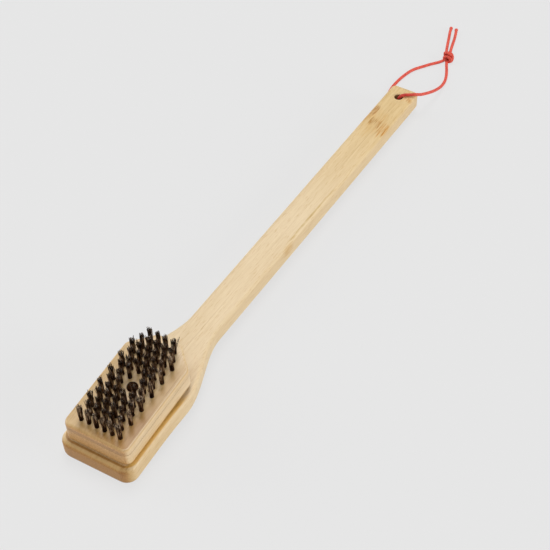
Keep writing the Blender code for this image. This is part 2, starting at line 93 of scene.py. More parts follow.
# Bristle field, as in the CAD
TUFT_PITCH = 6.35 * MM
ROW_STEP = 6.4 * MM
ROW_COUNT = 13
WIDE_ROW_TUFTS = 6
LAST_ROW_TUFTS = 4
SCREW_CLEAR_RADIUS = 6.5 * MM
FIELD_HALF = (38.4 * MM, 15.9 * MM)

# Tufts of wire. Spreads without a pair of values go either way
WIRES_PER_TUFT = 42
WIRE_RADIUS = 0.2 * MM
WIRE_TIP_RADIUS = 0.17 * MM
WIRE_SIDES = 5
WIRE_STEPS = 7
WIRE_ROOT_DEPTH = 3.0 * MM
WIRE_HEIGHT = 14.7 * MM
WIRE_HEIGHT_SPREAD = 1.1 * MM
WIRE_CURVE = 1.3
WIRE_WAVER = 0.3 * MM
WIRE_WAVER_TURN = 5.0
ROOT_RADIUS = 1.35 * MM
ROOT_TURN_SPREAD = 0.25
GOLDEN_ANGLE = 2.39996
TIP_RADIUS = 1.85 * MM
TIP_SPREAD = (0.8, 1.25)
TIP_REACH_SPREAD = (0.8, 1.15)
TIP_TURN_SPREAD = 0.4
TUFT_LEAN = 0.55 * MM
STRAY_SHARE = 0.06
STRAY_REACH = 1.8 * MM
BRISTLE_SEED = 5

# The splayed tuft at the right end of the last row
SPLAYED_PLACE = (38.4 * MM, -9.525 * MM)
SPLAYED_SHARE = 0.3
SPLAYED_REACH = Vector((2.2 * MM, -3.6 * MM))
SPLAYED_REACH_SPREAD = (0.2, 1.0)
SPLAYED_TURN_SPREAD = 0.5

# Cord: its size, and the swelling of its cut ends from the tip on
CORD_DIAMETER = 2.7 * MM
CORD_SIDES = 12
CORD_STEP = 0.35 * MM
CORD_PLIES = 3
CORD_PLY_SHARE = 0.035
CORD_LAY_LENGTH = 5.5 * MM
CORD_END_SWELL = (0.7, 1.05, 1.22, 1.25, 1.15, 1.05)
KNOT_DIAMETER = 2.6 * MM

# Routes of the cord, in millimetres in the part's frame. Both runs of the loop lie as in the
# CAD, and the tails do so too once they leave the knot, inside which they start
UPPER_ROUTE_MM = (
    (216.0, 0.0, 10.9), (216.0, 0.0, 15.3), (216.5, -0.7, 17.6), (217.6, -2.2, 19.2),
    (218.9, -4.0, 19.75), (221.2, -7.2, 19.75), (224.4, -11.2, 19.5), (228.8, -13.9, 17.6),
    (235.3, -15.3, 14.6), (243.5, -16.4, 11.0), (252.1, -17.2, 7.6), (261.5, -17.5, 4.6),
    (269.2, -16.9, 2.8), (276.3, -15.5, 1.8), (283.6, -13.0, 1.25), (289.8, -10.2, 1.25),
    (296.1, -7.0, 1.25), (299.9, -5.2, 1.3),
)
LOWER_ROUTE_MM = (
    (216.0, 0.0, 10.7), (216.1, 0.1, 5.9), (216.7, 0.9, 3.1), (217.7, 2.2, 1.8),
    (219.1, 4.2, 1.28), (222.4, 8.9, 1.25), (227.0, 14.2, 1.25), (234.0, 18.0, 1.25),
    (242.3, 19.4, 1.25), (249.4, 19.6, 1.25), (257.8, 19.1, 1.25), (265.1, 18.0, 1.25),
    (271.7, 16.5, 1.25), (277.2, 14.2, 1.25), (281.3, 11.6, 1.25), (285.5, 8.8, 1.25),
    (289.7, 6.0, 1.25), (293.3, 3.2, 1.25), (296.8, 0.6, 1.25), (300.5, -1.6, 1.3),
)
LEFT_TAIL_ROUTE_MM = (
    (305.4, -3.2, 4.2), (307.0, -2.1, 3.7), (308.5, -1.1, 2.9), (312.2, 1.0, 1.4),
    (316.3, 2.8, 1.25), (323.3, 5.4, 1.25), (333.3, 8.9, 1.25), (341.9, 12.0, 1.25),
    (347.4, 13.5, 1.25),
)
RIGHT_TAIL_ROUTE_MM = (
    (305.6, -4.9, 3.9), (307.4, -4.5, 3.2), (309.2, -3.9, 2.4), (313.2, -2.3, 1.3),
    (317.7, -0.6, 1.25), (325.2, 1.5, 1.25), (332.8, 3.5, 1.25), (340.2, 5.8, 1.25),
    (347.4, 8.4, 1.25),
)
KNOT_ROUTE_MM = (
    (301.4, -1.8, 4.3), (301.6, -3.8, 5.8), (301.8, -6.2, 5.6), (302.0, -8.1, 3.9),
    (301.2, -7.3, 2.0), (302.6, -3.9, 1.7), (304.5, -1.2, 4.1), (304.9, -0.9, 6.9),
    (304.5, -3.3, 7.6), (304.7, -5.7, 6.7), (305.0, -6.8, 4.4), (304.0, -5.8, 2.1),
    (305.2, -2.8, 2.9), (306.8, -3.1, 6.3), (306.4, -5.4, 7.1), (305.6, -7.5, 5.9),
    (304.3, -8.5, 3.8), (302.6, -8.0, 1.9), (301.0, -5.7, 1.6), (301.0, -3.0, 2.4),
    (301.4, -1.8, 4.3),
)

# Hanging hole
HOLE_BOTTOM = (215.9 * MM, 0.0, 3.0 * MM)
HOLE_RADIUS = 3.4 * MM

# Grain of the wood: rates of its noises along, across and through the fibres, per metre
FIBRE_RATES = (55.0, 1050.0, 1050.0)
STREAK_RATES = (10.0, 480.0, 480.0)
CLOUD_RATES = (14.0, 60.0, 60.0)
DASH_RATES = (130.0, 1100.0, 1100.0)
PORE_RATES = (500.0, 1300.0, 1300.0)

# Tone of the wood: shares of the noises in it, and the tones of its dark and its light colour
FIBRE_SHARE = 0.45
STREAK_SHARE = 0.33
CLOUD_SHARE = 0.22
WOOD_TONES = (0.4, 0.6)
GRAIN_STRENGTH = 0.25
GRAIN_RELIEF = 0.04 * MM

# Dark fibre ends, glue lines between the strips, and pores where the wood is cut across
DASH_RISE = (0.56, 0.68)
DASH_STRENGTH = 0.45
DASH_SHADE = (0.80, 0.68, 0.48)
GLUE_HALF_WIDTH = 0.45 * MM
GLUE_RISE = (0.4, 0.6)
GLUE_SHADE = (0.62, 0.46, 0.28)
PORE_TONES = (0.35, 0.6)
PORE_SHADES = ((0.72, 0.53, 0.345), (0.92, 0.745, 0.53))
END_GRAIN_RISE = (0.55, 0.95)

# Stains and patches of painted shade: how far the fibres break up their edges, and how much
# of them shows between fibre ends
PATCH_RAGGED = 4.0
PATCH_RISE = (-0.9, 0.1)
SPECKLE_RISE = (0.40, 0.52)
SPECKLE_LEAST = 0.5

# Share of a line's half width that has its full strength
LINE_CORE = 0.35

# Board
BOARD_LIGHT = (0.785, 0.625, 0.405)
BOARD_DARK = (0.715, 0.545, 0.325)
BOARD_ROUGHNESS = 0.45
BOARD_GLUE_LINES = (
    # y in millimetres, strength
    (-1.8, 0.35),
    (18.5, 0.3),
    (-22.0, 0.3),
)
BOARD_TINTS_AND_SHADES = (
    # x where the tint starts and where it is full in millimetres, share on sides and top, shade
    # the top yellower toward the handle's end: partly the wood's own tone, partly a painted
    # fall-off of the top's sheen
    (20.0, 210.0, 0.25, 1.0, (0.92, 0.85, 0.65)),
    # painted shade on the board's sides, along its whole length
    (260.0, 240.0, 1.0, 0.0, (0.97, 0.93, 0.84)),
    # painted shade on the front end of the paddle and on its ledge
    (-221.0, -229.5, 1.0, 1.0, (0.71, 0.585, 0.35)),
)
BOARD_STAINS_AND_SHADES = (
    # middle and half sizes in millimetres, shade
    ((174.0, 2.0, 18.6), (20.0, 16.0, 6.0), (0.92, 0.80, 0.58)),
    ((176.0, 3.6, 18.6), (7.0, 5.0, 6.0), (0.66, 0.52, 0.28)),
    ((174.0, -2.0, 18.6), (6.5, 4.2, 6.0), (0.72, 0.56, 0.30)),
    ((170.8, -8.2, 18.5), (11.0, 5.2, 6.0), (0.80, 0.55, 0.22)),
    ((190.5, 8.6, 18.2), (9.0, 3.4, 6.0), (0.60, 0.38, 0.12)),
    ((179.5, 9.4, 18.2), (10.0, 2.6, 6.0), (0.80, 0.62, 0.36)),
    ((211.0, 9.6, 18.2), (12.0, 2.4, 6.0), (0.86, 0.74, 0.48)),
    ((216.3, -9.1, 18.2), (4.0, 3.0, 4.0), (0.72, 0.38, 0.08)),
    # a darker patch from the hanging hole to the orange stain
    ((217.5, -6.0, 18.2), (2.2, 2.4, 4.0), (0.72, 0.56, 0.36)),
    ((11.0, -12.3, 18.0), (10.0, 2.2, 8.0), (0.84, 0.70, 0.46)),
    ((52.0, -9.8, 19.0), (44.0, 1.1, 6.0), (0.78, 0.70, 0.48)),
    ((-228.6, -24.2, 17.6), (4.5, 4.2, 4.2), (0.78, 0.68, 0.55)),
    # painted shade low on the paddle's right side
    ((-205.0, -31.0, 10.0), (45.0, 6.0, 20.0), (0.90, 0.85, 0.74)),
)
# Painted shade on the wall of the hanging hole
HOLE_WALL_FALL = (HOLE_RADIUS + 0.1 * MM, HOLE_RADIUS + 0.5 * MM)
HOLE_WALL_STRENGTH = 0.9
HOLE_WALL_SHADE = (0.42, 0.36, 0.26)

# Block
BLOCK_LIGHT = (0.76, 0.573, 0.34)
BLOCK_DARK = (0.67, 0.473, 0.248)
BLOCK_ROUGHNESS = 0.34
BLOCK_GLUE_LINES = (
    # y in millimetres, strength
    (6.0, 0.3),
    (-14.0, 0.3),
    (-23.6, 0.6),
)
PLY_LINES = (
    # depth below the face and half width in millimetres, strength on the front and the right
    (3.8, 2.2, 0.48, 0.08),
    (5.75, 0.4, 0.2, 0.32),
)
PLY_SHADE = (0.45, 0.30, 0.16)
PLY_STREAK_LIFT = 0.4
RIGHT_SIDE_RISE = (-22.0 * MM, -26.0 * MM)

# Painted shade of the tufts on the block's face. TOP and FLAT say how squarely a surface looks
# along the face's normal, and TOWARD_CORNER points to the right front corner in plan
TOP_RISE = (0.4, 0.9)
FLAT_RISE = (0.96, 0.995)
FORE_RISE = (-140.0 * MM, -162.0 * MM)
FORE_SHADE = (0.92, 0.87, 0.74)
BORDER_RISE = (0.5 * MM, 3.5 * MM)
BORDER_RIGHT_RISE = (18.0 * MM, 12.0 * MM)
BORDER_LEFT_SHARE = 0.3
BORDER_SHADE = (0.74, 0.66, 0.51)
TOWARD_CORNER = (-0.6, -0.8)
CORNER_RISE = (16.0 * MM, 34.0 * MM)
CORNER_SHADE = (0.82, 0.70, 0.51)

# Painted highlight on the rounded rim along the right side of the face
RIM_RISE = (0.75, 0.92)
RIM_RIGHT_RISE = (-20.0 * MM, -25.0 * MM)
RIM_STRENGTH = 0.4
RIM_HIGHLIGHT_COLOUR = (0.90, 0.76, 0.58)

# Foot of the block: its plan as in the CAD, its depth below the face, and the shadow painted on
# it and round it, lighter along its lit right side. BOARD_LINE runs outside the foot, and
# UNDER_LINE inside its right edge
FOOT_MIDDLE = (-178.4 * MM, 0.0)
FOOT_HALF = (47.1 * MM, 26.475 * MM)
FOOT_CORNER = 6.0 * MM
FOOT_DEPTH = 17.2 * MM
FOOT_SHADOW = (0.60, 0.44, 0.24)
FOOT_RIGHT_SHADOW = (0.92, 0.72, 0.30)
FOOT_LINES = (
    # half width, strength
    (1.2 * MM, 0.2),
    (3.4 * MM, 0.42),
)
BOARD_LINE_OUT = 1.0 * MM
BOARD_LINE_HALF_WIDTH = 1.3 * MM
UNDER_LINE_IN = 1.0 * MM
UNDER_LINE_HALF_WIDTH = 3.0 * MM
BOARD_TOP_RISE = (14.0 * MM, 16.0 * MM)
BOARD_LINE_END_RISE = (-151.0 * MM, -165.0 * MM)

# Wire: painted shade at the roots and on the upper ends, and painted glints on the cut tips,
# by height above the block's face
WIRE_ROUGHNESS = 0.34
WIRE_METALLIC = 0.6
WIRE_SPECULAR = 0.25
WIRE_EDGE = (0.6, 0.37, 0.2)
WIRE_RATES = (1000.0, 1000.0, 120.0)
WIRE_TONES = (0.40, 0.50, 0.62)
WIRE_COLOURS = ((0.018, 0.006, 0.002), (0.13, 0.074, 0.038), (0.66, 0.50, 0.34))
ROOT_RISE = (7.0 * MM, 3.0 * MM)
ROOT_PAINTED_SHADE = (0.22, 0.14, 0.09)
UPPER_RISE = (9.0 * MM, 12.8 * MM)
UPPER_PAINTED_SHADE = (0.14, 0.09, 0.06)
TIP_GLINT_RISE = (12.8 * MM, 14.2 * MM)
TIP_GLINT_STRENGTH = 0.7
TIP_GLINT_COLOUR = (0.62, 0.56, 0.48)
SPECK_RATE = 1900.0
SPECK_RISE = (0.62, 0.72)

# Plan of the tufts behind the lit front and right rows, whose upper ends get the full painted
# shade
SHADED_MIDDLE = (FACE_CENTRE.x + 15.0 * MM, 8.0 * MM)
SHADED_HALF = (48.4 * MM, 19.4 * MM)
SHADED_RISE = (3.5 * MM, 0.5 * MM)
LIT_SHARE = 0.4

# Cord: its reds, and painted shade near the hanging hole
CORD_ROUGHNESS = 0.45
CORD_SPECULAR = 0.3
CORD_RATE = 500.0
CORD_TONES = (0.3, 0.7)
CORD_COLOURS = ((0.58, 0.055, 0.038), (0.80, 0.12, 0.072))
CORD_HOLE_RISE = (229.0 * MM, 217.0 * MM)
CORD_HOLE_PAINTED_SHADE = (0.75, 0.45, 0.5)

# Screw, insert and dowels
METAL_RATE = 1500.0
METAL_TONES = (0.3, 0.7)
SCREW_COLOURS = ((0.016, 0.006, 0.003), (0.06, 0.027, 0.012))
SCREW_EDGE = (0.35, 0.16, 0.08)
SCREW_ROUGHNESS = 0.42
BRASS_COLOURS = ((0.55, 0.37, 0.13), (0.68, 0.5, 0.22))
BRASS_EDGE = (1.0, 0.9, 0.7)
BRASS_ROUGHNESS = 0.35
DOWEL_LIGHT = (0.7, 0.5, 0.3)
DOWEL_DARK = (0.6, 0.4, 0.22)

# Smoothness of the pieces that copy a CAD node: their flats keep their shading by their weight
WELD = 0.01 * MM
SMOOTH_BELOW = math.radians(42.0)
FLAT_WEIGHT = 100

# Sockets of a mix node: its factor and its two colours, and the colour that it gives
MIX_INPUTS = (0, 6, 7)
MIX_OUTPUT = 2

# Places in the wood, three of its noises, and the tone that they and its clouds make together
Grain = namedtuple("Grain", "places fibre streak dash tone")


def shader_of(material):
    return material.node_tree.nodes["Principled BSDF"]


def new_material(name, roughness, metallic=0.0, specular=0.5, edge=(1.0, 1.0, 1.0)):
    material = bpy.data.materials.new(name)
    material.use_nodes = True
    shader = shader_of(material)
    shader.inputs["Roughness"].default_value = roughness
    shader.inputs["Metallic"].default_value = metallic
    shader.inputs["Specular IOR Level"].default_value = specular
    shader.inputs["Specular Tint"].default_value = (*edge, 1.0)
    return material


def feed(tree, socket, value):
    """A socket takes a number, a colour or another node's output."""
    if isinstance(value, (int, float)):
        socket.default_value = value
    elif isinstance(value, tuple):
        socket.default_value = (*value, 1.0)
    else:
        tree.links.new(value, socket)


def calc(tree, operation, *values):
    node = tree.nodes.new("ShaderNodeMath")
    node.operation = operation
    for socket, value in zip(node.inputs, values):
        feed(tree, socket, value)
    return node.outputs[0]


def times(tree, first, second):
    return calc(tree, "MULTIPLY", first, second)


def less(tree, first, second):
    return calc(tree, "SUBTRACT", first, second)


def weighted_sum(tree, parts):
    total = 0.0
    for value, weight in parts:
        total = calc(tree, "MULTIPLY_ADD", value, weight, total)
    return total


def between(tree, share, low, high):
    """The value low where the share is 0, high where it is 1."""
    return calc(tree, "MULTIPLY_ADD", share, high - low, low)


def step(tree, value, start, full):
    """Smooth rise from 0 at start to 1 at full, which may lie below start."""
    node = tree.nodes.new("ShaderNodeMapRange")
    node.interpolation_type = "SMOOTHSTEP"
    feed(tree, node.inputs["Value"], value)
    node.inputs["From Min"].default_value = start
    node.inputs["From Max"].default_value = full
    return node.outputs[0]


def line(tree, place, middle, half_width):
    """1 on a thin line, 0 beside it."""
    off = calc(tree, "ABSOLUTE", less(tree, place, middle))
    return less(tree, 1.0, step(tree, off, LINE_CORE * half_width, half_width))


def past_box(tree, places, middle, half):
    """Distance outside a rectangle in plan, 0 inside it."""
    squares = []
    for place, centre, reach in zip(places, middle, half):
        off = calc(tree, "ABSOLUTE", less(tree, place, centre))
        past = calc(tree, "MAXIMUM", less(tree, off, reach), 0.0)
        squares.append(times(tree, past, past))
    return calc(tree, "SQRT", calc(tree, "ADD", *squares))


def ramp(tree, factor, positions, colours):
    node = tree.nodes.new("ShaderNodeValToRGB")
    elements = node.color_ramp.elements
    while len(elements) < len(colours):
        elements.new(1.0)
    for element, position, colour in zip(elements, positions, colours):
        element.position = position
        element.color = (*colour, 1.0)
    tree.links.new(factor, node.inputs[0])
    return node.outputs[0]


def mix(tree, kind, factor, first, second):
    node = tree.nodes.new("ShaderNodeMix")
    node.data_type = "RGBA"
    node.blend_type = kind
    for i, value in zip(MIX_INPUTS, (factor, first, second)):
        feed(tree, node.inputs[i], value)
    return node.outputs[MIX_OUTPUT]


def darken(tree, colour, factor, shade, strength=1.0):
    """The colour times the shade, as far as the factor and the strength say."""
    return mix(tree, "MULTIPLY", times(tree, factor, strength), colour, shade)


def noise(tree, vector, rate=1.0, detail=2.0, roughness=0.5):
    node = tree.nodes.new("ShaderNodeTexNoise")
    node.inputs["Scale"].default_value = rate
    node.inputs["Detail"].default_value = detail
    node.inputs["Roughness"].default_value = roughness
    tree.links.new(vector, node.inputs["Vector"])
    return node.outputs["Fac"]


def bump(tree, height, strength, distance):
    node = tree.nodes.new("ShaderNodeBump")
    node.inputs["Strength"].default_value = strength
    node.inputs["Distance"].default_value = distance
    tree.links.new(height, node.inputs["Height"])
    return node.outputs[0]


def coordinates(tree, kind):
    """Object gives a point's place in metres, Normal the way that its surface looks."""
    return tree.nodes.new("ShaderNodeTexCoord").outputs[kind]


def split(tree, vector):
    node = tree.nodes.new("ShaderNodeSeparateXYZ")
    tree.links.new(vector, node.inputs[0])
    return node.outputs


def scaled(tree, places, rates):
    """Places stretched by a rate per metre on each axis."""
    node = tree.nodes.new("ShaderNodeCombineXYZ")
    for socket, place, rate in zip(node.inputs, places, rates):
        tree.links.new(times(tree, place, rate), socket)
    return node.outputs[0]


def facing_along(tree, axis):
    """How squarely a face looks along an axis: 1 when square to it, 0 when it runs along it."""
    return calc(tree, "ABSOLUTE", split(tree, coordinates(tree, "Normal"))[axis])


def along_normal(tree, vector):
    """How far a vector reaches along the normal of the block's face."""
    node = tree.nodes.new("ShaderNodeVectorMath")
    node.operation = "DOT_PRODUCT"
    node.inputs[1].default_value = FACE_NORMAL
    tree.links.new(vector, node.inputs[0])
    return node.outputs["Value"]


def grain_places(tree):
    """Places along, across and through the wood, in metres, with the board's bend taken out."""
    x, y, z = split(tree, coordinates(tree, "Object"))
    past_bend = less(tree, x, BEND_X)
    rise = calc(tree, "SMOOTH_MIN", times(tree, past_bend, HEAD_SLOPE),
                times(tree, past_bend, HANDLE_SLOPE), BEND_SOFTNESS)
    return x, y, less(tree, z, rise)


def wood_grain(tree):
    """The noises, drawn out along the fibres, that the looks of the wood share."""
    places = grain_places(tree)
    fibre = noise(tree, scaled(tree, places, FIBRE_RATES), detail=3.0, roughness=0.6)
    streak = noise(tree, scaled(tree, places, STREAK_RATES))
    cloud = noise(tree, scaled(tree, places, CLOUD_RATES))
    dash = noise(tree, scaled(tree, places, DASH_RATES))
    tone = weighted_sum(tree, (
        (streak, STREAK_SHARE), (fibre, FIBRE_SHARE), (cloud, CLOUD_SHARE)))
    return Grain(places, fibre, streak, dash, tone)


def tinted_and_shaded(tree, colour, grain, tints_and_shades):
    """Slow changes of tint and of painted shade along the wood, each with its own share on the
    sides and the top.
    """
    for start, full, on_side, on_top, shade in tints_and_shades:
        share = between(tree, facing_along(tree, Z_AXIS), on_side, on_top)
        seen = times(tree, step(tree, grain.places[0], start * MM, full * MM), share)
        colour = darken(tree, colour, seen, shade)
    return colour


def glued(tree, colour, grain, glue_lines):
    """Broken dark lines where two strips meet."""
    for y, strength in glue_lines:
        seen = times(tree, line(tree, grain.places[1], y * MM, GLUE_HALF_WIDTH),
                     step(tree, grain.streak, *GLUE_RISE))
        colour = darken(tree, colour, seen, GLUE_SHADE, strength)
    return colour


def ragged_patch(tree, grain, centre, reach):
    """A ragged mark on the wood, drawn out along the fibres: 1 in its middle, 0 outside."""
    square = 0.0
    for place, middle, half in zip(grain.places, centre, reach):
        offset = calc(tree, "DIVIDE", less(tree, place, middle * MM), half * MM)
        square = calc(tree, "MULTIPLY_ADD", offset, offset, square)
    ragged = calc(tree, "MULTIPLY_ADD", grain.fibre, PATCH_RAGGED, -0.5 * PATCH_RAGGED)
    return step(tree, less(tree, ragged, square), *PATCH_RISE)


def stained_and_shaded(tree, colour, grain, stains_and_shades):
    """The marks of the bamboo's joints and of use, and a patch of painted shade low on the
    paddle's right side.
    """
    speckle = between(tree, step(tree, grain.dash, *SPECKLE_RISE), SPECKLE_LEAST, 1.0)
    for centre, reach, shade in stains_and_shades:
        seen = times(tree, ragged_patch(tree, grain, centre, reach), speckle)
        colour = darken(tree, colour, seen, shade)
    return colour


def end_grained(tree, colour, grain):
    """Pores where the wood is cut across its fibres."""
    pores = noise(tree, scaled(tree, grain.places, PORE_RATES))
    across = mix(tree, "MULTIPLY", 1.0, colour, ramp(tree, pores, PORE_TONES, PORE_SHADES))
    cut_across = step(tree, facing_along(tree, X_AXIS), *END_GRAIN_RISE)
    return mix(tree, "MIX", cut_across, colour, across)


def wood(name, light, dark, roughness=BOARD_ROUGHNESS, glue_lines=(), tints_and_shades=(), stains_and_shades=(),
         painted_light_and_joints=None):
    """Wood with long fibres and dark fibre ends, and what else is seen on it."""
    material = new_material(name, roughness)
    tree = material.node_tree
    grain = wood_grain(tree)
    colour = ramp(tree, grain.tone, WOOD_TONES, (dark, light))
    colour = darken(tree, colour, step(tree, grain.dash, *DASH_RISE), DASH_SHADE, DASH_STRENGTH)
    colour = tinted_and_shaded(tree, colour, grain, tints_and_shades)
    colour = glued(tree, colour, grain, glue_lines)
    colour = stained_and_shaded(tree, colour, grain, stains_and_shades)
    colour = end_grained(tree, colour, grain)
    if painted_light_and_joints:
        colour = painted_light_and_joints(tree, colour, grain)
    shader = shader_of(material)
    tree.links.new(colour, shader.inputs["Base Color"])
    tree.links.new(bump(tree, grain.tone, GRAIN_STRENGTH, GRAIN_RELIEF),
                   shader.inputs["Normal"])
    return material


def right_side(tree, places):
    """1 along the right side of the block and its foot, 0 elsewhere."""
    return step(tree, places[1], *RIGHT_SIDE_RISE)


def foot_shadow_colour(tree, places):
    """Colour of the shadow painted round the foot of the block, lighter along its lit right side.
    """
    return mix(tree, "MIX", right_side(tree, places), FOOT_SHADOW, FOOT_RIGHT_SHADOW)


def foot_shadow_line(tree, places):
    """1 on the line of painted shadow round the foot of the block, on the board's top, 0 beside
    it.
    """
    off = past_box(tree, places, FOOT_MIDDLE, [half - FOOT_CORNER for half in FOOT_HALF])
    ring = line(tree, off, FOOT_CORNER + BOARD_LINE_OUT, BOARD_LINE_HALF_WIDTH)
    under = times(tree, line(tree, off, FOOT_CORNER - UNDER_LINE_IN, UNDER_LINE_HALF_WIDTH),
                  right_side(tree, places))
    top = times(tree, step(tree, places[2], *BOARD_TOP_RISE),
                step(tree, places[0], *BOARD_LINE_END_RISE))
    return times(tree, calc(tree, "MAXIMUM", ring, under), top)


def hole_wall(tree, places):
    """1 on the wall of the hanging hole, which gets painted shade, 0 on the wood round it."""
    off = past_box(tree, places, HOLE_BOTTOM[:2], (0.0, 0.0))
    return less(tree, 1.0, step(tree, off, *HOLE_WALL_FALL))


def board_painted_shade(tree, colour, grain):
    """Painted shade on the wall of the hanging hole, and painted shadow round the foot of the
    block.
    """
    places = grain.places
    colour = darken(tree, colour, hole_wall(tree, places), HOLE_WALL_SHADE, HOLE_WALL_STRENGTH)
    return darken(tree, colour, foot_shadow_line(tree, places), foot_shadow_colour(tree, places))


def painted_tuft_shade(tree, colour, places, facing, flat):
    """Painted shade of the tufts on the fore part of the face, round the bristles and toward the
    right front corner.
    """
    fore = times(tree, step(tree, facing, *TOP_RISE), step(tree, places[0], *FORE_RISE))
    border = step(tree, past_box(tree, places, FACE_CENTRE[:2], FIELD_HALF), *BORDER_RISE)
    border = times(tree, border, between(tree, step(tree, places[1], *BORDER_RIGHT_RISE),
                                         BORDER_LEFT_SHARE, 1.0))
    toward_corner = calc(tree, "MULTIPLY_ADD", less(tree, places[0], FACE_CENTRE.x),
                         TOWARD_CORNER[0], times(tree, places[1], TOWARD_CORNER[1]))
    corner = times(tree, flat, step(tree, toward_corner, *CORNER_RISE))
    colour = darken(tree, colour, fore, FORE_SHADE)
    colour = darken(tree, colour, times(tree, fore, border), BORDER_SHADE)
    return darken(tree, colour, corner, CORNER_SHADE)


def painted_rim_highlight(tree, colour, places, facing, flat):
    """Painted highlight on the rounded rim of the face, along its lit right side."""
    rim = times(tree, step(tree, facing, *RIM_RISE), less(tree, 1.0, flat))
    rim_highlight = times(tree, rim, step(tree, places[1], *RIM_RIGHT_RISE))
    return mix(tree, "MIX", times(tree, rim_highlight, RIM_STRENGTH), colour, RIM_HIGHLIGHT_COLOUR)


def ply_lines(tree, colour, grain, depth):
    """Dark lines where the two plies of the block meet."""
    right = right_side(tree, grain.places)
    streaked = calc(tree, "ADD", grain.streak, PLY_STREAK_LIFT)
    for middle, half_width, on_front, on_right in PLY_LINES:
        seen = times(tree, line(tree, depth, middle * MM, half_width * MM), streaked)
        share = between(tree, right, on_front, on_right)
        colour = darken(tree, colour, seen, PLY_SHADE, share)
    return colour


def block_painted_light_and_plies(tree, colour, grain):
    """Painted tuft shade on the face, a painted highlight on its rim, dark lines where the plies
    meet and painted shadow at the foot.
    """
    facing = along_normal(tree, coordinates(tree, "Normal"))
    flat = step(tree, facing, *FLAT_RISE)
    depth = less(tree, FACE_CENTRE.dot(FACE_NORMAL),
                 along_normal(tree, coordinates(tree, "Object")))
    # painted shadow along the foot of the block's sides
    foot = weighted_sum(tree, [(line(tree, depth, FOOT_DEPTH, half_width), strength)
                               for half_width, strength in FOOT_LINES])
    colour = painted_tuft_shade(tree, colour, grain.places, facing, flat)
    colour = painted_rim_highlight(tree, colour, grain.places, facing, flat)
    colour = ply_lines(tree, colour, grain, depth)
    return darken(tree, colour, foot, foot_shadow_colour(tree, grain.places))


def wire_material():
    """Dark steel wire. Its tone changes from wire to wire, with painted shade low down and on the
    upper ends, and painted glints on the cut tips.
    """
    material = new_material("bristle_wire", WIRE_ROUGHNESS, WIRE_METALLIC, WIRE_SPECULAR,
                            WIRE_EDGE)
    tree = material.node_tree
    place = coordinates(tree, "Object")
    x, y, _ = split(tree, place)
    height = less(tree, along_normal(tree, place), FACE_CENTRE.dot(FACE_NORMAL))
    along = calc(tree, "MULTIPLY_ADD", height, -FACE_NORMAL.x, x)
    tone = noise(tree, scaled(tree, (along, y, height), WIRE_RATES), roughness=0.6)
    colour = ramp(tree, tone, WIRE_TONES, WIRE_COLOURS)
    # painted shade on the lower wires, near the block's face
    colour = darken(tree, colour, step(tree, height, *ROOT_RISE), ROOT_PAINTED_SHADE)
    # painted shade on the upper ends, weaker on the lit front and right rows
    past_shaded = past_box(tree, (along, y), SHADED_MIDDLE, SHADED_HALF)
    shaded = between(tree, step(tree, past_shaded, *SHADED_RISE), LIT_SHARE, 1.0)
    upper = times(tree, step(tree, height, *UPPER_RISE), shaded)
    colour = darken(tree, colour, upper, UPPER_PAINTED_SHADE)
    # painted glints on the cut tips
    speck = noise(tree, place, SPECK_RATE, detail=0.0)
    cut = times(tree, step(tree, height, *TIP_GLINT_RISE), step(tree, speck, *SPECK_RISE))
    colour = mix(tree, "MIX", times(tree, cut, TIP_GLINT_STRENGTH), colour, TIP_GLINT_COLOUR)
    tree.links.new(colour, shader_of(material).inputs["Base Color"])
    return material


def cord_material():
    """Red cord, with painted shade where it lies in the hanging hole and beside it."""
    material = new_material("red_cord", CORD_ROUGHNESS, specular=CORD_SPECULAR)
    tree = material.node_tree
    place = coordinates(tree, "Object")
    tone = noise(tree, place, CORD_RATE, detail=3.0)
    colour = ramp(tree, tone, CORD_TONES, CORD_COLOURS)
    # painted shade on the cord near the hanging hole
    near_hole = step(tree, split(tree, place)[X_AXIS], *CORD_HOLE_RISE)
    colour = darken(tree, colour, near_hole, CORD_HOLE_PAINTED_SHADE)
    tree.links.new(colour, shader_of(material).inputs["Base Color"])
    return material


def metal_material(name, colours, edge, roughness):
    material = new_material(name, roughness, metallic=1.0, edge=edge)
    tree = material.node_tree
    tone = noise(tree, coordinates(tree, "Object"), METAL_RATE, detail=3.0)
    tree.links.new(ramp(tree, tone, METAL_TONES, colours),
                   shader_of(material).inputs["Base Color"])
    return material


def add_piece(name, mesh, material, body, replaced):
    mesh.materials.append(material)
    piece = bpy.data.objects.new(name, mesh)
    bpy.context.scene.collection.objects.link(piece)
    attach(piece, body)
    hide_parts(*replaced)
    return piece


def smooth_mesh(name, bm):
    mesh = bpy.data.meshes.new(name)
    bm.to_mesh(mesh)
    bm.free()
    mesh.shade_smooth()
    return mesh


def smooth_copy(name, node, material, body):
    """The CAD node's own shape with its rounded rims shaded smooth and its flats kept flat."""
    source = nodes[node].data
    mesh = bpy.data.meshes.new(name)
    mesh.from_pydata([v.co for v in source.vertices], [],
                     [tuple(p.vertices) for p in source.polygons])
    bm = bmesh.new()
    bm.from_mesh(mesh)
    bmesh.ops.remove_doubles(bm, verts=bm.verts, dist=WELD)
    for edge in bm.edges:
        edge.smooth = len(edge.link_faces) == 2 and edge.calc_face_angle() < SMOOTH_BELOW
    for face in bm.faces:
        face.smooth = True
    bm.to_mesh(mesh)
    bm.free()
    piece = add_piece(name, mesh, material, body, [node])
    weighted = piece.modifiers.new("flats_kept_flat", "WEIGHTED_NORMAL")
    weighted.keep_sharp = True
    weighted.weight = FLAT_WEIGHT


def around(angle):
    return Vector((math.cos(angle), math.sin(angle)))


def ply_share(angle, run):
    """Share of a cord's radius that it has at an angle, where its plies wind round it."""
    turned = angle - math.tau * run / CORD_LAY_LENGTH
    return 1 + CORD_PLY_SHARE * (math.cos(CORD_PLIES * turned) - 1)


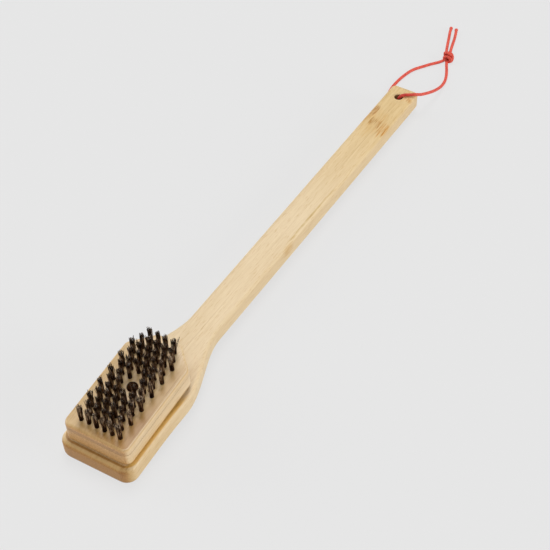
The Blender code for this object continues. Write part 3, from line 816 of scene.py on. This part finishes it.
def add_tube(bm, path, radii, sides, plied=False):
    """A tube along a path, closed at both ends. A plied one has the outline of laid cord."""
    heading = (path[1] - path[0]).normalized()
    side = heading.orthogonal().normalized()
    rings = []
    run = 0.0
    for i, place in enumerate(path):
        ahead = (path[min(i + 1, len(path) - 1)] - path[max(i - 1, 0)]).normalized()
        side = (side - ahead * side.dot(ahead)).normalized()
        across = ahead.cross(side)
        if i:
            run += (place - path[i - 1]).length
        ring = []
        for j in range(sides):
            angle = math.tau * j / sides
            out = side * math.cos(angle) + across * math.sin(angle)
            radius = radii[i] * ply_share(angle, run) if plied else radii[i]
            ring.append(bm.verts.new(place + out * radius))
        rings.append(ring)
    for ring, ahead in zip(rings, rings[1:]):
        for j in range(sides):
            k = (j + 1) % sides
            bm.faces.new((ring[j], ring[k], ahead[k], ahead[j]))
    bm.faces.new(reversed(rings[0]))
    bm.faces.new(rings[-1])


def curve_place(start, start_slope, end, end_slope, span, t):
    """Place on the cubic between two points with given slopes, t from 0 to 1."""
    return (start * (2 * t ** 3 - 3 * t ** 2 + 1)
            + start_slope * span * (t ** 3 - 2 * t ** 2 + t)
            + end * (3 * t ** 2 - 2 * t ** 3)
            + end_slope * span * (t ** 3 - t ** 2))


def smooth_path(route_mm, spacing, closed=False):
    """Even steps along one smooth curve through a route."""
    route = [Vector(p) * MM for p in route_mm]
    knots = [0.0]
    for before, after in zip(route, route[1:]):
        knots.append(knots[-1] + (after - before).length)
    last = len(route) - 1
    slopes = [(route[min(i + 1, last)] - route[max(i - 1, 0)])
              / (knots[min(i + 1, last)] - knots[max(i - 1, 0)]) for i in range(len(route))]
    if closed:
        slopes[0] = slopes[-1] = (route[1] - route[-2]) / (knots[1] + knots[-1] - knots[-2])
    path = []
    for i in range(last):
        span = knots[i + 1] - knots[i]
        count = max(2, round(span / spacing))
        for j in range(count):
            path.append(curve_place(route[i], slopes[i], route[i + 1], slopes[i + 1],
                                    span, j / count))
    path.append(route[-1])
    return path


def cord_piece(name, route_mm, far_end, material, replaced):
    """A run of the cord. A run with a bare end swells there, where it was cut and sealed."""
    path = smooth_path(route_mm, CORD_STEP)
    radii = [CORD_DIAMETER / 2] * len(path)
    if far_end == "bare":
        for i, swell in enumerate(CORD_END_SWELL):
            radii[-1 - i] *= swell
    for place, radius in zip(path, radii):
        place.z = max(place.z, radius)
    bm = bmesh.new()
    add_tube(bm, path, radii, CORD_SIDES, plied=True)
    piece = add_piece(name, smooth_mesh(name, bm), material, "board", replaced)


def knot(material):
    path = smooth_path(KNOT_ROUTE_MM, CORD_STEP, closed=True)
    bm = bmesh.new()
    add_tube(bm, path, [KNOT_DIAMETER / 2] * len(path), CORD_SIDES)
    return add_piece("overhand_knot", smooth_mesh("overhand_knot", bm), material,
                     "board", ["cord_knot"])


def cord():
    """The loop through the hanging hole in two runs, the knot and the two tails."""
    red = cord_material()
    wrapped = knot(red)
    cord_piece("cord_upper", UPPER_ROUTE_MM, "knot", red, ["hanging_cord_loop"])
    cord_piece("cord_lower", LOWER_ROUTE_MM, "knot", red, ["hanging_cord_loop"])
    cord_piece("tail_left", LEFT_TAIL_ROUTE_MM, "bare", red, ["cord_tail_left"])
    cord_piece("tail_right", RIGHT_TAIL_ROUTE_MM, "bare", red, ["cord_tail_right"])


def tuft_places():
    """Node name and tuft places of each slice, in the head's frame."""
    for row in range(ROW_COUNT):
        x = row * ROW_STEP - (ROW_COUNT - 1) * ROW_STEP / 2
        count = LAST_ROW_TUFTS if row == ROW_COUNT - 1 else WIDE_ROW_TUFTS - row % 2
        tufts = [(x, (i - (count - 1) / 2) * TUFT_PITCH) for i in range(count)]
        tufts = [t for t in tufts if math.hypot(*t) > SCREW_CLEAR_RADIUS]
        name = f"tuft_row_{row + 1:02d}"
        if name in nodes:
            yield name, tufts
        else:
            yield name + "_right", [t for t in tufts if t[1] < 0]
            yield name + "_left", [t for t in tufts if t[1] > 0]


def on_head(x, y, z):
    return FACE_CENTRE + HEAD_ALONG * x + Vector((0, y, 0)) + FACE_NORMAL * z


def wire_path(x, y, root, tip, height, waver):
    """A wire that bends out from its root to its tip and wavers on the way."""
    path = []
    for j in range(WIRE_STEPS + 1):
        t = j / WIRE_STEPS
        bend = WIRE_WAVER * t * around(waver + t * WIRE_WAVER_TURN)
        across = root.lerp(tip, t ** WIRE_CURVE) + bend
        path.append(on_head(x + across.x, y + across.y,
                            (height + WIRE_ROOT_DEPTH) * t - WIRE_ROOT_DEPTH))
    return path


def add_wires(bm, x, y, dice):
    """One tuft: wires packed at the root that waver and spread toward their tips."""
    def either_way(spread):
        return dice.uniform(-spread, spread)

    splayed = math.dist((x, y), SPLAYED_PLACE) < TUFT_PITCH / 2
    spread = TIP_RADIUS * dice.uniform(*TIP_SPREAD)
    lean = Vector((either_way(TUFT_LEAN), either_way(TUFT_LEAN)))
    radii = [WIRE_RADIUS + (WIRE_TIP_RADIUS - WIRE_RADIUS) * i / WIRE_STEPS
             for i in range(WIRE_STEPS + 1)]
    for i in range(WIRES_PER_TUFT):
        share = math.sqrt((i + 0.5) / WIRES_PER_TUFT)
        angle = i * GOLDEN_ANGLE + either_way(ROOT_TURN_SPREAD)
        tip_reach = share * spread * dice.uniform(*TIP_REACH_SPREAD)
        if dice.random() < STRAY_SHARE:
            tip_reach += dice.uniform(0, STRAY_REACH)
        height = WIRE_HEIGHT + either_way(WIRE_HEIGHT_SPREAD)
        waver = dice.uniform(0, math.tau)
        tip_angle = angle + either_way(TIP_TURN_SPREAD)
        root = around(angle) * share * ROOT_RADIUS
        tip = around(tip_angle) * tip_reach + lean
        if splayed and dice.random() < SPLAYED_SHARE:
            swing = Matrix.Rotation(either_way(SPLAYED_TURN_SPREAD), 2)
            tip += swing @ SPLAYED_REACH * dice.uniform(*SPLAYED_REACH_SPREAD)
        add_tube(bm, wire_path(x, y, root, tip, height, waver), radii, WIRE_SIDES)


def bristles():
    material = wire_material()
    dice = random.Random(BRISTLE_SEED)
    for node, tufts in tuft_places():
        bm = bmesh.new()
        for x, y in tufts:
            add_wires(bm, x, y, dice)
        name = node.replace("tuft_row", "wires_row")
        add_piece(name, smooth_mesh(name, bm), material, "brush_head", [node])


def wood_and_metal():
    board = wood("board_bamboo", BOARD_LIGHT, BOARD_DARK, BOARD_ROUGHNESS, BOARD_GLUE_LINES,
                 BOARD_TINTS_AND_SHADES, BOARD_STAINS_AND_SHADES, board_painted_shade)
    block = wood("block_bamboo", BLOCK_LIGHT, BLOCK_DARK, BLOCK_ROUGHNESS, BLOCK_GLUE_LINES,
                 painted_light_and_joints=block_painted_light_and_plies)
    beech = wood("dowel_beech", DOWEL_LIGHT, DOWEL_DARK)
    dark = metal_material("dark_screw", SCREW_COLOURS, SCREW_EDGE, SCREW_ROUGHNESS)
    brass = metal_material("insert_brass", BRASS_COLOURS, BRASS_EDGE, BRASS_ROUGHNESS)
    smooth_copy("paddle_and_handle", "handle_board", board, "board")
    smooth_copy("lower_ply", "block_base", block, "brush_head")
    smooth_copy("upper_ply", "block_face", block, "brush_head")
    smooth_copy("slotted_screw", "block_screw", dark, "screw")
    for side in ("left", "right"):
        smooth_copy(f"dowel_{side}", f"locating_dowel_{side}", beech, "board")
    smooth_copy("brass_insert", "threaded_insert", brass, "board")


def seen_directly(tree):
    """1 for what the camera sees, itself or in a reflection, 0 for light on the object."""
    rays = tree.nodes.new("ShaderNodeLightPath").outputs
    return calc(tree, "MAXIMUM", rays["Is Camera Ray"], rays["Is Glossy Ray"])


def floor():
    """Pale floor. The camera sees its shadows lightened, as on a lit studio table."""
    bm = bmesh.new()
    bmesh.ops.create_grid(bm, x_segments=1, y_segments=1, size=FLOOR_SIZE / 2)
    plane = bpy.data.objects.new("floor", smooth_mesh("floor", bm))
    bpy.context.scene.collection.objects.link(plane)
    material = new_material("floor", roughness=1.0, specular=0.0)
    shader = shader_of(material)
    grey = (FLOOR_GREY, FLOOR_GREY, FLOOR_GREY, 1.0)
    shader.inputs["Base Color"].default_value = grey
    tree = material.node_tree
    glow = tree.nodes.new("ShaderNodeEmission")
    glow.inputs["Color"].default_value = grey
    blend = tree.nodes.new("ShaderNodeMixShader")
    tree.links.new(times(tree, seen_directly(tree), FLOOR_LIFT), blend.inputs[0])
    tree.links.new(shader.outputs[0], blend.inputs[1])
    tree.links.new(glow.outputs[0], blend.inputs[2])
    tree.links.new(blend.outputs[0], tree.nodes["Material Output"].inputs[0])
    plane.data.materials.append(material)


def direction(azimuth, elevation):
    level = math.cos(elevation)
    return Vector((level * math.cos(azimuth), level * math.sin(azimuth), math.sin(elevation)))


def camera():
    data = bpy.data.cameras.new("camera")
    data.sensor_width = CAMERA_SENSOR_MM
    data.lens = CAMERA_LENS_MM
    data.clip_start = CAMERA_CLIP_START
    obj = bpy.data.objects.new("camera", data)
    bpy.context.scene.collection.objects.link(obj)
    back = direction(CAMERA_AZIMUTH, CAMERA_ELEVATION)
    obj.rotation_mode = "QUATERNION"
    obj.rotation_quaternion = (back.to_track_quat("Z", "Y")
                               @ Matrix.Rotation(CAMERA_ROLL, 3, "Z").to_quaternion())
    obj.location = Vector(CAMERA_TARGET) + back * CAMERA_DISTANCE
    bpy.context.scene.camera = obj


def sun(name, strength, angle, azimuth, elevation):
    """A lamp far off, as wide in the sky as its angle in degrees."""
    light = bpy.data.lights.new(name, "SUN")
    light.energy = strength
    light.angle = math.radians(angle)
    obj = bpy.data.objects.new(name, light)
    bpy.context.scene.collection.objects.link(obj)
    toward = direction(math.radians(azimuth), math.radians(elevation))
    obj.rotation_euler = toward.to_track_quat("Z", "Y").to_euler()


def lights():
    """Lamps and a dim world, which the camera and the metal see as pale as the floor."""
    world = bpy.data.worlds.new("studio")
    world.use_nodes = True
    tree = world.node_tree
    background = tree.nodes["Background"]
    background.inputs["Color"].default_value = (1.0, 1.0, 1.0, 1.0)
    strength = between(tree, seen_directly(tree), WORLD_STRENGTH, FLOOR_GREY)
    tree.links.new(strength, background.inputs["Strength"])
    bpy.context.scene.world = world
    for lamp in LAMPS:
        sun(*lamp)


def main():
    bpy.context.scene.view_settings.view_transform = "Standard"
    camera()
    lights()
    floor()
    cord()
    bristles()
    wood_and_metal()


main()
